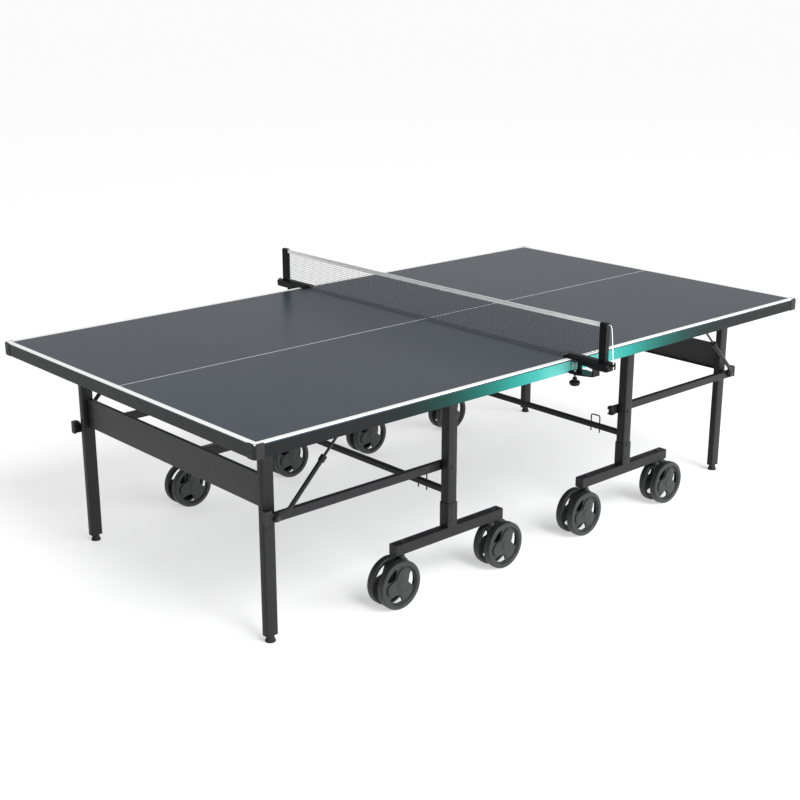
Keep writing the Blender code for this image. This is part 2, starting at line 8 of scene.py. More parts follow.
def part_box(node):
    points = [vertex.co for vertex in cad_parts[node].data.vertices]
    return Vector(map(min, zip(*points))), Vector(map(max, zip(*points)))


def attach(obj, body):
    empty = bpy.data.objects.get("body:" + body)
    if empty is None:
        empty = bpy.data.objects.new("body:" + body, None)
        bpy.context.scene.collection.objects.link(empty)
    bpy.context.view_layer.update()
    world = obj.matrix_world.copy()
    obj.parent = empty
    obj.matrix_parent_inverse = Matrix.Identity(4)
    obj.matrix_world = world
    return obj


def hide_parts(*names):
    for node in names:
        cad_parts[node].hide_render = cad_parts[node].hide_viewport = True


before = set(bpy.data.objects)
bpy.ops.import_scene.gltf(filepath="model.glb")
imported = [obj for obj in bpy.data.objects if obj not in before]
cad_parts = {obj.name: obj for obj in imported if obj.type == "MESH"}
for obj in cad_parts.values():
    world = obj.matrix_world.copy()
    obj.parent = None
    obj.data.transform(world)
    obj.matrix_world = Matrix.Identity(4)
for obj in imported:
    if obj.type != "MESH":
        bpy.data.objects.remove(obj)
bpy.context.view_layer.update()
print("frame loaded:", len(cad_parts), "nodes")

halves = {"a": -1, "b": 1}  # which way each half lies along X
sides = {"near": -1, "far": 1}  # and each side along Y

# The camera, for the main view

camera = {
    "lens": 60.42,  # mm, on Blender's usual 36 mm sensor
    "place": (-3.4467, -3.6858, 2.0054),
    "round": -41.95,  # degrees round the table from the near side
    "lookDown": 17.34,
    "farthest": 700,
}


def towards(turn, height):
    # A direction turned round from the near side towards +X, and raised from level
    level = math.cos(height)
    return Vector((math.sin(turn) * level, -math.cos(turn) * level, math.sin(height)))


def inScene(made):
    bpy.context.scene.collection.objects.link(made)
    return made


def addCamera():
    data = bpy.data.cameras.new("camera")
    data.lens = camera["lens"]
    data.clip_end = camera["farthest"]
    made = inScene(bpy.data.objects.new("camera", data))
    turn, tilt = math.radians(camera["round"]), math.radians(camera["lookDown"])
    made.location = camera["place"]
    made.rotation_mode = "QUATERNION"
    made.rotation_quaternion = (-towards(turn, tilt)).to_track_quat("-Z", "Y")
    bpy.context.scene.camera = made


addCamera()
print("camera placed")

# Materials


class Shade:
    # One value in a material's nodes, so that shader maths reads as ordinary maths

    def __init__(self, finish, socket):
        self.finish = finish
        self.socket = socket

    def maths(self, operation, first, second=None):
        inputs = {0: first} if second is None else {0: first, 1: second}
        return self.finish.add("ShaderNodeMath", {"operation": operation}, inputs)

    def __add__(self, other):
        return self.maths("ADD", self, other)

    __radd__ = __add__

    def __sub__(self, other):
        return self.maths("SUBTRACT", self, other)

    def __rsub__(self, other):
        return self.maths("SUBTRACT", other, self)

    def __mul__(self, other):
        return self.maths("MULTIPLY", self, other)

    __rmul__ = __mul__

    def __truediv__(self, other):
        return self.maths("DIVIDE", self, other)

    def __abs__(self):
        return self.maths("ABSOLUTE", self)

    def most(self, other):
        return self.maths("MAXIMUM", self, other)

    def fraction(self):
        return self.maths("FRACT", self)

    def sine(self):
        return self.maths("SINE", self)

    def over(self, edge, soft):
        # 0 below the edge and 1 above it, softened over a distance
        ramp = {"Value": self, "From Min": edge - soft / 2, "From Max": edge + soft / 2}
        return self.finish.add("ShaderNodeMapRange", {"interpolation_type": "SMOOTHSTEP"}, ramp)


class Finish:
    # A material on a Principled shader, with one method for any other node

    def __init__(self, name, color, roughness, **fixed):
        self.material = bpy.data.materials.new(name)
        self.material.use_nodes = True
        self.tree = self.material.node_tree
        self.shader = self.tree.nodes["Principled BSDF"]
        self.color = color
        self.shader.inputs["Base Color"].default_value = (*color, 1)
        self.shader.inputs["Roughness"].default_value = roughness
        for socket, value in fixed.items():
            self.shader.inputs[socket.replace("_", " ")].default_value = value
        place = self.node("ShaderNodeTexCoord").outputs["Object"]
        self.place = Shade(self, place)
        apart = self.node("ShaderNodeSeparateXYZ", {}, {0: self.place})
        self.x, self.y, self.z = (Shade(self, apart.outputs[i]) for i in range(3))

    def node(self, kind, settings=None, inputs=None):
        made = self.tree.nodes.new(kind)
        for name, value in (settings or {}).items():
            if name == "stops":
                self.setStops(made.color_ramp, value)
            else:
                setattr(made, name, value)
        for name, value in (inputs or {}).items():
            self.feed(made.inputs[name], value)
        return made

    def add(self, kind, settings=None, inputs=None, output=0):
        return Shade(self, self.node(kind, settings, inputs).outputs[output])

    def feed(self, socket, value):
        if isinstance(value, Shade):
            self.tree.links.new(value.socket, socket)
        else:
            socket.default_value = value

    def setStops(self, ramp, stops):
        for i, (place, color) in enumerate(stops):
            stop = ramp.elements[i] if i < 2 else ramp.elements.new(place)
            stop.position = place
            stop.color = (*color, 1)

    def noise(self, scale, detail=3.0, stretch=(1, 1, 1)):
        place = self.place
        if stretch != (1, 1, 1):
            place = self.add("ShaderNodeMapping", {}, {"Vector": place, "Scale": stretch})
        return self.add("ShaderNodeTexNoise", {}, {"Vector": place, "Scale": scale, "Detail": detail})

    def mix(self, share, first, second):
        inputs = {"Factor": share, 6: first, 7: second}
        return self.add("ShaderNodeMix", {"data_type": "RGBA"}, inputs, 2)

    def paint(self, color):
        self.feed(self.shader.inputs["Base Color"], color)

    def rough(self, value):
        self.feed(self.shader.inputs["Roughness"], value)

    def bump(self, height, distance, strength=1.0):
        inputs = {"Height": height, "Distance": distance, "Strength": strength}
        self.feed(self.shader.inputs["Normal"], self.add("ShaderNodeBump", {}, inputs))

    def mottle(self, darker, lighter, scale=9.0):
        # Slow cloudy changes of shade, as paint and moulded plastic have
        dark = [c * darker for c in self.color] + [1]
        light = [c * lighter for c in self.color] + [1]
        return self.mix(self.noise(scale), dark, light)


surface = {
    "color": (0.031, 0.043, 0.057),
    "line": (0.80, 0.81, 0.80),
    "edgeLine": 0.020,
    "centreLine": 0.003,
    "soft": 0.0005,
    "paintDepth": 0.0012,  # how far down from the top the lines still show
    "paintSoft": 0.0004,
}


def makeSurface():
    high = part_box("tabletop_b")[1]
    made = Finish("boardLaminate", surface["color"], 0.30, Specular_IOR_Level=0.17)
    toEnd = abs(made.x).over(high.x - surface["edgeLine"], surface["soft"])
    toSide = abs(made.y).over(high.y - surface["edgeLine"], surface["soft"])
    middle = 1 - abs(made.y).over(surface["centreLine"] / 2, surface["soft"])
    onTop = made.z.over(high.z - surface["paintDepth"], surface["paintSoft"])
    lines = toEnd.most(toSide).most(middle) * onTop
    board = made.mottle(0.94, 1.07, 3.0)
    made.paint(made.mix(lines, board, (*surface["line"], 1)))
    made.rough(0.27 + 0.03 * made.noise(1.7, 1.0) + 0.12 * lines)
    made.bump(made.noise(330.0, 1.0) + lines * 0.8, 0.000008)
    return made.material


apron = {
    "black": (0.026, 0.027, 0.027),
    "inside": 0.0025,  # the colour stops this far in from the table's edge
    "stops": [  # along X from the net line, in metres
        (0.00, (0.068, 0.245, 0.222)),
        (0.12, (0.044, 0.212, 0.190)),
        (0.20, (0.018, 0.150, 0.134)),
        (0.30, (0.007, 0.112, 0.098)),
        (0.40, (0.004, 0.068, 0.057)),
        (0.50, (0.002, 0.039, 0.032)),
        (0.62, (0.002, 0.018, 0.015)),
        (0.78, (0.004, 0.007, 0.007)),
        (0.95, (0.005, 0.006, 0.006)),
    ],
}


def makeApronPaint():
    made = Finish("apronPaint", apron["black"], 0.40, Specular_IOR_Level=0.13)
    fade = made.add("ShaderNodeValToRGB", {"stops": apron["stops"]}, {"Fac": abs(made.x)})
    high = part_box("tabletop_b")[1]
    outside = abs(made.y).over(high.y - apron["inside"], 0.001)
    made.paint(made.mix(outside, made.mottle(0.9, 1.1), fade))
    made.rough(0.36 + 0.10 * made.noise(14.0))
    made.bump(made.noise(900.0, 2.0), 0.00008)
    return made.material


def makePowderCoat(name, color):
    made = Finish(name, color, 0.38, Specular_IOR_Level=0.20)
    made.paint(made.mottle(0.85, 1.15, 12.0))
    made.rough(0.33 + 0.14 * made.noise(25.0))
    made.bump(made.noise(1100.0, 2.0), 0.00012)
    return made.material


def makePlastic(name, color, roughness, grain, shine=0.34):
    made = Finish(name, color, roughness, Specular_IOR_Level=shine)
    made.paint(made.mottle(0.86, 1.14, 30.0))
    made.rough(roughness - 0.06 + 0.12 * made.noise(60.0))
    made.bump(made.noise(grain, 3.0), 0.00015)
    return made.material


zincPitch = 0.00125


def makeZinc():
    made = Finish("zincPlate", (0.66, 0.66, 0.67), 0.28, Metallic=1.0)
    made.paint(made.mottle(0.82, 1.08, 60.0))
    made.rough(0.22 + 0.16 * made.noise(90.0))
    thread = (made.z * (math.tau / zincPitch)).sine()
    made.bump(thread, 0.0003)
    return made.material


net = {
    "pitch": 0.0077,
    "thread": 0.00125,
    "color": (0.046, 0.051, 0.059),
    "twist": 9000.0,  # radians of twist per metre of thread
}


def makeNetMesh():
    made = Finish("netMesh", net["color"], 0.75)
    clear = (net["pitch"] - net["thread"]) / 2 / net["pitch"]
    threads = None
    for along in (made.y, made.z):
        away = abs((along / net["pitch"]).fraction() - 0.5)
        line = away.over(clear, 0.02)
        threads = line if threads is None else threads.most(line)
    made.feed(made.shader.inputs["Alpha"], threads)
    made.paint(made.mottle(0.8, 1.25, 40.0))
    made.bump((made.y * net["twist"] + made.z * net["twist"]).sine(), 0.0002)
    return made.material


def makeWeave(name, color, pitch, sheen):
    made = Finish(name, color, 0.82, Sheen_Weight=sheen)
    weft = (made.y * (math.tau / pitch)).sine()
    warp = (made.z * (math.tau / pitch)).sine()
    made.paint(made.mottle(0.93, 1.03, 120.0))
    made.bump(weft * warp, 0.0002)
    return made.material


braid = {
    "slant": 2.0,
    "turns": 3600.0,  # radians per metre
}


def makeBraid():
    made = Finish("cordBraid", (0.80, 0.80, 0.78), 0.78, Sheen_Weight=0.2)
    one = ((made.z + made.x * braid["slant"]) * braid["turns"]).sine()
    other = ((made.z - made.x * braid["slant"]) * braid["turns"]).sine()
    made.paint(made.mottle(0.90, 1.04, 300.0))
    made.bump(one * other, 0.0003)
    return made.material


finishes = {
    "surface": makeSurface(),
    "apron": makeApronPaint(),
    "steel": makePowderCoat("powderCoat", (0.0095, 0.0095, 0.010)),
    "panel": makePowderCoat("panelCoat", (0.034, 0.034, 0.035)),
    "castor": makePlastic("castorPlastic", (0.016, 0.0165, 0.0165), 0.46, 700.0),
    "clamp": makePlastic("clampPlastic", (0.0045, 0.0045, 0.005), 0.42, 1300.0, 0.16),
    "cap": makePlastic("capPlastic", (0.009, 0.009, 0.009), 0.50, 900.0),
    "rubber": makePlastic("footRubber", (0.012, 0.012, 0.012), 0.78, 1600.0),
    "bolt": makePlastic("blackedBolt", (0.012, 0.012, 0.013), 0.34, 1800.0),
    "zinc": makeZinc(),
    "net": makeNetMesh(),
    "tape": makeWeave("netTape", (0.88, 0.88, 0.87), 0.0012, 0.3),
    "hem": makeWeave("netHem", (0.11, 0.12, 0.13), 0.0012, 0.2),
    "cord": makeBraid(),
}
print("materials made:", len(finishes))

# Shapes, all in the frame's own metres


def loft(rings, loop=False):
    # Faces from each ring of points to the next, closed by a cap at both ends or by joining them
    shape = bmesh.new()
    rows = [[shape.verts.new(point) for point in ring] for ring in rings]
    if loop:
        rows.append(rows[0])
    else:
        shape.faces.new(rows[0][::-1])
        shape.faces.new(rows[-1])
    for row, following in zip(rows, rows[1:]):
        for i in range(len(row)):
            j = (i + 1) % len(row)
            shape.faces.new((row[i], row[j], following[j], following[i]))
    return shape


def roundedRect(width, height, corner, steps=4):
    points = []
    for quarter, (right, up) in enumerate(((1, 1), (-1, 1), (-1, -1), (1, -1))):
        for i in range(steps + 1):
            angle = math.radians(90 * (quarter + i / steps))
            across = right * (width / 2 - corner) + corner * math.cos(angle)
            points.append((across, up * (height / 2 - corner) + corner * math.sin(angle)))
    return points


def rounded(corners, radius, steps=4):
    # An outline with each of its corners cut to a curve that starts a radius away
    points = []
    corners = [Vector(corner) for corner in corners]
    for i, corner in enumerate(corners):
        before, after = corners[i - 1] - corner, corners[(i + 1) % len(corners)] - corner
        cut = min(radius, before.length * 0.48, after.length * 0.48)
        start, end = corner + before.normalized() * cut, corner + after.normalized() * cut
        for k in range(steps + 1):
            t = k / steps
            points.append(tuple(start * (1 - t) ** 2 + corner * 2 * t * (1 - t) + end * t * t))
    return points


def slab(outline, axis, start, end):
    # A flat piece: its outline lies across the axis, and it reaches along it from start to end
    rings = []
    for along in (start, end):
        rings.append([(*point[:axis], along, *point[axis:]) for point in outline])
    return loft(rings)


def block(low, high):
    low, high = Vector(low), Vector(high)
    size = high - low
    shape = bmesh.new()
    place = Matrix.Translation((low + high) / 2) @ Matrix.Diagonal((*[abs(s) for s in size], 1))
    bmesh.ops.create_cube(shape, size=1.0, matrix=place)
    return shape


def squareTube(low, high, axis, corner=0.0035, wall=0.002):
    across = [i for i in range(3) if i != axis]
    size = [abs(high[i] - low[i]) for i in across]
    middle = [(high[i] + low[i]) / 2 for i in across]

    def ring(inset, along):
        flat = roundedRect(size[0] - 2 * inset, size[1] - 2 * inset, max(corner - inset, 0.001))
        placed = [(u + middle[0], v + middle[1]) for u, v in flat]
        return [(*point[:axis], along, *point[axis:]) for point in placed]

    soft = 0.0006
    start, end = sorted((low[axis], high[axis]))
    rings = [ring(soft, start), ring(0, start + soft), ring(0, end - soft), ring(soft, end)]
    rings += [ring(wall, end), ring(wall, start)]
    return loft(rings, loop=True)


def lathe(profile, base, direction, steps=32):
    # A shape turned about a line, from (radius, distance along) points
    axis = Vector(direction).normalized()
    across = axis.orthogonal().normalized()
    other = axis.cross(across)
    rings = []
    for radius, along in profile:
        ring = []
        for i in range(steps):
            angle = math.tau * i / steps
            spoke = across * math.cos(angle) + other * math.sin(angle)
            ring.append(Vector(base) + axis * along + spoke * radius)
        rings.append(ring)
    shape = loft(rings)
    bmesh.ops.remove_doubles(shape, verts=shape.verts, dist=1e-6)
    bmesh.ops.dissolve_degenerate(shape, edges=shape.edges, dist=1e-7)
    return shape


def boltHead(base, direction, radius=0.0075, height=0.0045):
    # A domed head on a washer
    washer = radius * 1.35
    profile = [(0, 0), (washer, 0), (washer, 0.0009), (radius, 0.0011), (radius, height * 0.45)]
    profile += [(radius * 0.82, height * 0.8), (radius * 0.45, height), (radius * 0.40, height * 0.7)]
    profile += [(0, height * 0.7)]
    return lathe(profile, base, direction, 24)


def together(*shapes):
    whole = bmesh.new()
    for shape in shapes:
        part = bpy.data.meshes.new("part")
        shape.to_mesh(part)
        shape.free()
        whole.from_mesh(part)
        bpy.data.meshes.remove(part)
    return whole


def meshOf(name, shape, smoothBelow=32):
    bmesh.ops.recalc_face_normals(shape, faces=shape.faces)
    mesh = bpy.data.meshes.new(name)
    shape.to_mesh(mesh)
    shape.free()
    mesh.shade_smooth()
    if smoothBelow:
        mesh.set_sharp_from_angle(angle=math.radians(smoothBelow))
    return mesh


def show(name, data, finish, body, stands=(), bevel=0.0, steps=2):
    # Adds a piece: its finish, the body it rides on and the CAD nodes it stands for
    made = inScene(bpy.data.objects.new(name, data))
    if not data.materials:
        data.materials.append(finishes[finish])
    if bevel:
        edges = made.modifiers.new("edges", "BEVEL")
        edges.width = bevel
        edges.segments = steps
        edges.limit_method = "ANGLE"
        edges.angle_limit = math.radians(32)
        made.modifiers.new("normals", "WEIGHTED_NORMAL")
    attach(made, body)
    if stands:
        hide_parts(*stands)
    return made


def piece(name, shape, finish, body, stands=(), bevel=0.0, steps=2):
    return show(name, meshOf(name, shape, 0 if bevel else 32), finish, body, stands, bevel, steps)


def wire(name, points, radius, finish, body, stands=(), resolution=4):
    data = bpy.data.curves.new(name, "CURVE")
    data.dimensions = "3D"
    data.bevel_depth = radius
    data.bevel_resolution = resolution
    data.use_fill_caps = True
    line = data.splines.new("POLY")
    line.points.add(len(points) - 1)
    for point, place in zip(line.points, points):
        point.co = (*place, 1)
    return show(name, data, finish, body, stands)


def arc(centre, radius, start, end, count):
    angles = [math.radians(start + (end - start) * i / (count - 1)) for i in range(count)]
    return [(centre[0] + radius * math.cos(a), centre[1] + radius * math.sin(a)) for a in angles]


# The net's tension cord, first of the soft pieces

cord = {
    "diameter": 0.0026,
    "length": 0.269,
    "route": [
        (0.0, -0.8985, 0.9020),
        (0.0, -0.9040, 0.9026),
        (0.0, -0.9090, 0.9010),
        (0.0, -0.9125, 0.8950),
        (0.0, -0.9145, 0.8850),
        (0.0, -0.9160, 0.8720),
        (0.0, -0.9180, 0.8550),
        (0.0, -0.9200, 0.8350),
        (0.0, -0.9220, 0.8150),
        (0.0, -0.9240, 0.7950),
        (0.0, -0.9262, 0.7780),
        (0.0, -0.9275, 0.7650),
        (0.0, -0.9280, 0.7500),
        (0.0, -0.9282, 0.7300),
        (0.0, -0.9283, 0.7050),
        (0.0, -0.9284, 0.6800),
        (0.0, -0.9285, 0.6450),
    ],
}


def smoothRoute(points, steps):
    # A smooth line through the points, with a few more between each two
    route = [Vector(point) for point in points]
    ends = [2 * route[0] - route[1], *route, 2 * route[-1] - route[-2]]
    fine = []
    for before, a, b, after in zip(ends, ends[1:], ends[2:], ends[3:]):
        for i in range(steps):
            t = i / steps
            bend = (2 * before - 5 * a + 4 * b - after) * t**2 + (3 * (a - b) + after - before) * t**3
            fine.append((2 * a + (b - before) * t + bend) / 2)
    fine.append(route[-1])
    return fine


cordLine = smoothRoute(cord["route"], 4)
tensionCord = wire("tensionCord", cordLine, cord["diameter"] / 2, "cord", "net_set", ["tension_cord"])
print("cord made")

# The net and its tape

netShape = {
    "tapeHeight": 0.016,
    "tapeThick": 0.0026,
    "sag": 0.0037,
    "topAtPosts": 0.9060,
    "stepsAlong": 72,
    "stepsUp": 8,
    "hemHeight": 0.006,
    "hemThick": 0.0018,
    "clampStep": 0.0095,  # how far the lower edge rises over a clamp
    "stepLength": 0.012,
}


def netTop(y):
    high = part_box("net")[1]
    return netShape["topAtPosts"] - netShape["sag"] * (1 - (y / high.y) ** 2)


def netBottom(y):
    # The net's lower edge steps up over the clamps
    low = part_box("net")[0]
    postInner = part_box("net_post_far")[0].y
    length = netShape["stepLength"]
    overClamp = min(1.0, max(0.0, (abs(y) - postInner + length) / length))
    return low.z + overClamp * netShape["clampStep"]


def addNet():
    low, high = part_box("net")
    count, upwards = netShape["stepsAlong"], netShape["stepsUp"]
    stations = [low.y + (high.y - low.y) * i / count for i in range(count + 1)]
    shape = bmesh.new()
    rows = []
    for y in stations:
        bottom, top = netBottom(y), netTop(y) - 0.002
        heights = [bottom + (top - bottom) * k / upwards for k in range(upwards + 1)]
        rows.append([shape.verts.new((0, y, z)) for z in heights])
    for row, following in zip(rows, rows[1:]):
        for k in range(upwards):
            shape.faces.new((row[k], following[k], following[k + 1], row[k + 1]))
    sheet = piece("netSheet", shape, "net", "net_set", ["net"])

    half, height = netShape["tapeThick"] / 2, netShape["tapeHeight"]
    rings = []
    for y in stations:
        top = netTop(y)
        around = [(half, top - height), (half, top - height * 0.55)]
        around += [(half * 0.86, top - height * 0.5), (half, top - height * 0.45)]
        around += [(half * 0.9, top - 0.0012), (0, top)]
        mirror = [(-x, z) for x, z in reversed(around[:-1])]
        rings.append([(x, y, z) for x, z in around + mirror])
    tape = piece("netTape", loft(rings), "tape", "net_set")

    rings = []
    for y in stations:
        bottom = netBottom(y) - 0.0004
        around = roundedRect(netShape["hemThick"], netShape["hemHeight"], 0.0008, 2)
        rings.append([(x, y, bottom + netShape["hemHeight"] / 2 + z) for x, z in around])
    hem = piece("netHem", loft(rings), "hem", "net_set")


addNet()
print("net made")

# Net posts and clamps. The near one is built, and the far one is the same turned half round

clamp = {
    "post": (0.018, 0.030),  # along X and along Y
    "postMiddle": -0.883,
    "groove": 0.0022,
    "armWidth": 0.054,
    "armTop": 0.7700,
    "armBottom": 0.7605,
    "armEnds": (-0.919, -0.7250),
    "ribs": 5,
    "bodyBottom": 0.7425,
    "bodyEnds": (-0.921, -0.7640),
    "screw": (-0.027, -0.7835),
    "halfBody": 0.021,
    "prongs": (-0.0048, 0.0048),  # the cord hook's two prongs, along X
    "prongHalf": 0.0021,
    "jawThick": 0.004,
    "webTop": 0.7612,
    "lugTop": 0.7412,
    "knobLobes": 8,
    "lobeDepth": 0.055,
}


def halfTurn(shape):
    around = Matrix.Rotation(math.pi, 3, "Z")
    bmesh.ops.rotate(shape, verts=shape.verts, cent=(0, 0, 0), matrix=around)


def turned(shape, side):
    if side == "far":
        halfTurn(shape)
    return shape


def postOutline():
    # Two shallow grooves run up each broad face
    width, depth = clamp["post"]
    cut = clamp["groove"]
    edge = []
    steps = ((-0.5, 0), (-0.30, 0), (-0.27, 1), (-0.13, 1), (-0.10, 0), (0.10, 0), (0.13, 1))
    for share, inset in steps:
        edge.append((width / 2 - inset * cut, share * depth))
    edge += [(width / 2 - cut, 0.27 * depth), (width / 2, 0.30 * depth), (width / 2, 0.5 * depth)]
    back = [(-x, y) for x, y in reversed(edge)]
    return [(x, y + clamp["postMiddle"]) for x, y in edge + back]


def addNetPost(side):
    name = side.capitalize()
    outline = postOutline()
    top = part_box("net_post_near")[1].z
    middle = Vector((0, clamp["postMiddle"]))
    rings = [[(x, y, z) for x, y in outline] for z in (clamp["armTop"] - 0.004, top - 0.003)]
    crown = [middle + (Vector(point) - middle) * 0.82 for point in outline]
    rings.append([(x, y, top - 0.0002) for x, y in crown])
    standing = turned(loft(rings), side)
    piece("netPost" + name, standing, "clamp", "net_set", ["net_post_" + side], 0.0005)

    width, start, end = clamp["armWidth"], *clamp["armEnds"]
    plan = rounded([(-width / 2, start), (width / 2, start), (width / 2, end), (-width / 2, end)], 0.007)
    arm = slab(plan, 2, clamp["armBottom"], clamp["armTop"] - 0.002)
    parts = [arm]
    pitch = width / clamp["ribs"]
    for i in range(clamp["ribs"]):
        x = (i - (clamp["ribs"] - 1) / 2) * pitch
        inner = end - 0.002 - 0.004 * abs(i - (clamp["ribs"] - 1) / 2)
        left, right = x - pitch * 0.30, x + pitch * 0.30
        rib = [(left, start + 0.003), (right, start + 0.003), (right, inner), (left, inner)]
        parts.append(slab(rounded(rib, 0.002, 2), 2, clamp["armTop"] - 0.003, clamp["armTop"]))
    piece("clampArm" + name, turned(together(*parts), side), "clamp", "net_set", (), 0.0007)

    start, end = clamp["bodyEnds"]
    bottom, top = clamp["bodyBottom"], clamp["armBottom"] + 0.0006
    sideView = [(start, top), (start, bottom + 0.004)]
    sideView += [(start + 0.006, bottom), (start + 0.075, bottom)]
    sideView += [(start + 0.090, bottom + 0.003), (end - 0.024, bottom + 0.003)]
    sideView += [(end - 0.022, top - 0.001), (end, top - 0.001), (end, top)]
    body = slab(rounded(sideView, 0.0022, 2), 0, -clamp["halfBody"], clamp["halfBody"])
    cheek = [(start + 0.012, top - 0.004), (start + 0.012, bottom + 0.004)]
    cheek += [(end - 0.040, bottom + 0.006), (end - 0.034, top - 0.004)]
    cheeks = [slab(rounded(cheek, 0.003, 2), 0, x, x + 0.003) for x in (0.0205, -0.0235)]
    profile = [(0.0075, 0.7555), (0.0085, 0.7565), (0.0085, 0.7606)]
    boss = lathe(profile, (*clamp["screw"], 0), (0, 0, 1), 24)
    whole = turned(together(body, *cheeks, boss), side)
    piece("clampBody" + name, whole, "clamp", "net_set", (), 0.0008)

    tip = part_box("net_post_near")[0].y
    outline = [(-0.918, 0.7640), (tip + 0.002, 0.7636), (tip + 0.0004, 0.7715)]
    outline += [(tip + 0.004, 0.7716), (tip + 0.006, 0.7675), (-0.918, 0.7690)]
    outline = rounded(outline, 0.0012, 2)
    prongs = [slab(outline, 0, x - clamp["prongHalf"], x + clamp["prongHalf"]) for x in clamp["prongs"]]
    piece("cordHook" + name, turned(together(*prongs), side), "clamp", "net_set", (), 0.0004)


def addJaw(side):
    low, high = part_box("clamp_jaw_near")
    seat = low.z + clamp["jawThick"]
    plate = [(low.x, high.y), (high.x - 0.008, high.y), (high.x, -0.785)]
    plate += [(0.020, low.y), (-0.020, low.y), (low.x, -0.805)]
    shape = slab(rounded(plate, 0.006), 2, low.z, seat)
    lip = [(low.x, high.y), (high.x - 0.008, high.y)]
    lip += [(high.x - 0.008, high.y - 0.004), (low.x, high.y - 0.004)]
    ridge = slab(rounded(lip, 0.001, 2), 2, seat - 0.0005, seat + 0.003)
    web = [(-0.0195, -0.7995), (-0.0080, -0.7995), (-0.0080, -0.7850), (-0.0195, -0.7850)]
    web = slab(rounded(web, 0.0015, 2), 2, seat - 0.0005, clamp["webTop"])
    lug = [(-0.018, -0.8560), (0.018, -0.8560), (0.018, -0.8500), (-0.018, -0.8500)]
    lug = slab(rounded(lug, 0.0015, 2), 2, seat - 0.0005, clamp["lugTop"])
    profile = [(0.0055, low.z + 0.0005), (0.0100, low.z + 0.0005), (0.0100, seat + 0.0035)]
    profile += [(0.0088, seat + 0.0045), (0.0055, seat + 0.0045)]
    collar = lathe(profile, (*clamp["screw"], 0), (0, 0, 1), 24)
    whole = turned(together(shape, ridge, web, lug, collar), side)
    stands = ["clamp_jaw_" + side]
    piece("clampJaw" + side.capitalize(), whole, "clamp", "jaw_" + side, stands, 0.0006)


def addScrew(side):
    name = side.capitalize()
    base = (*clamp["screw"], 0)
    rod = [(0, 0.6985), (0.0036, 0.6990), (0.0040, 0.7000)]
    rod += [(0.0040, 0.7600), (0.0034, 0.7612), (0, 0.7615)]
    rod = turned(lathe(rod, base, (0, 0, 1), 24), side)
    piece("clampScrew" + name, rod, "zinc", "screw_" + side, ["clamp_screw_" + side])
    # The knob is a lobed grip with a neck
    profile = [(0.0065, 0.7005), (0.0080, 0.6995), (0.0085, 0.6900), (0.0150, 0.6880), (0.0185, 0.6855)]
    profile += [(0.0193, 0.6815), (0.0185, 0.6765), (0.0160, 0.6725), (0.0100, 0.6700), (0.0005, 0.6692)]
    rings = []
    lobes, steps = clamp["knobLobes"], 64
    for radius, z in profile:
        depth = clamp["lobeDepth"] * max(0.0, (radius - 0.010) / 0.010)
        ring = []
        for i in range(steps):
            angle = math.tau * i / steps
            reach = radius * (1 - depth * (1 - math.cos(lobes * angle)) / 2)
            ring.append((base[0] + reach * math.cos(angle), base[1] + reach * math.sin(angle), z))
        rings.append(ring)
    piece("clampKnob" + name, turned(loft(rings), side), "clamp", "screw_" + side)


for side in sides:
    addNetPost(side)
    addJaw(side)
    addScrew(side)
print("clamps made")

# One half of the table


def at(half, side, x, y, z):
    # A place given from the net line and the table's middle, put on its own half and side
    return Vector((halves[half] * x, sides[side] * y, z))


def mirrored(outline, sign):
    return [(sign * x, z) for x, z in outline]


def title(*words):
    return "".join(word.capitalize() for word in words)


def addTop(half):
    low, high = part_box("tabletop_" + half)
    board = block(low, high)
    piece("board" + title(half), board, "surface", "top_" + half, ["tabletop_" + half], 0.0007, 3)
    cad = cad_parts["apron_frame_" + half].data.copy()
    shape = bmesh.new()
    shape.from_mesh(cad)
    bpy.data.meshes.remove(cad)
    bmesh.ops.remove_doubles(shape, verts=shape.verts, dist=1e-5)
    bmesh.ops.dissolve_limit(shape, angle_limit=math.radians(1), verts=shape.verts, edges=shape.edges)
    frameMesh = meshOf("apronFrame", shape, 0)
    frameMesh.materials.clear()
    stands = ["apron_frame_" + half]
    show("apronFrame" + title(half), frameMesh, "apron", "top_" + half, stands, 0.0008)


corner = {
    "along": 0.036,
    "proud": 0.0016,
    "thick": 0.0030,
    "radius": 0.013,
    "bottom": 0.7125,
    "top": 0.7602,
    "screwIn": 0.026,  # how far in from the corner each screw is
    "screwHeight": 0.7335,
}


def addCorner(half, side):
    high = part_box("tabletop_b")[1]
    endX, endY = high.x + corner["proud"], high.y + corner["proud"]

    def plan(grow):
        # The outline of an L that wraps the corner, from the end's tip to the side's tip
        outerX, outerY, radius = endX - grow, endY - grow, corner["radius"] - grow
        bend = arc((outerX - radius, outerY - radius), radius, 0, 90, 7)
        tipY, tipX = (end - corner["along"] + grow * 0.3 for end in (endY, endX))
        return [(outerX, tipY), *bend, (tipX, outerY)]

    outline = plan(0) + plan(corner["thick"] + corner["proud"])[::-1]
    placed = [(halves[half] * x, sides[side] * y) for x, y in outline]
    cap = slab(placed, 2, corner["bottom"], corner["top"])
    piece("corner" + title(side, half), cap, "cap", "top_" + half, (), 0.0009, 3)
    back = corner["screwIn"]
    faces = ((endX, endY - back, (1, 0, 0)), (endX - back, endY, (0, 1, 0)))
    for k, (x, y, along) in enumerate(faces):
        base = at(half, side, x - 0.0003 * along[0], y - 0.0003 * along[1], corner["screwHeight"])
        head = boltHead(base, at(half, side, *along), 0.0028, 0.0014)
        piece(f"cornerScrew{title(side, half)}{k + 1}", head, "bolt", "top_" + half)


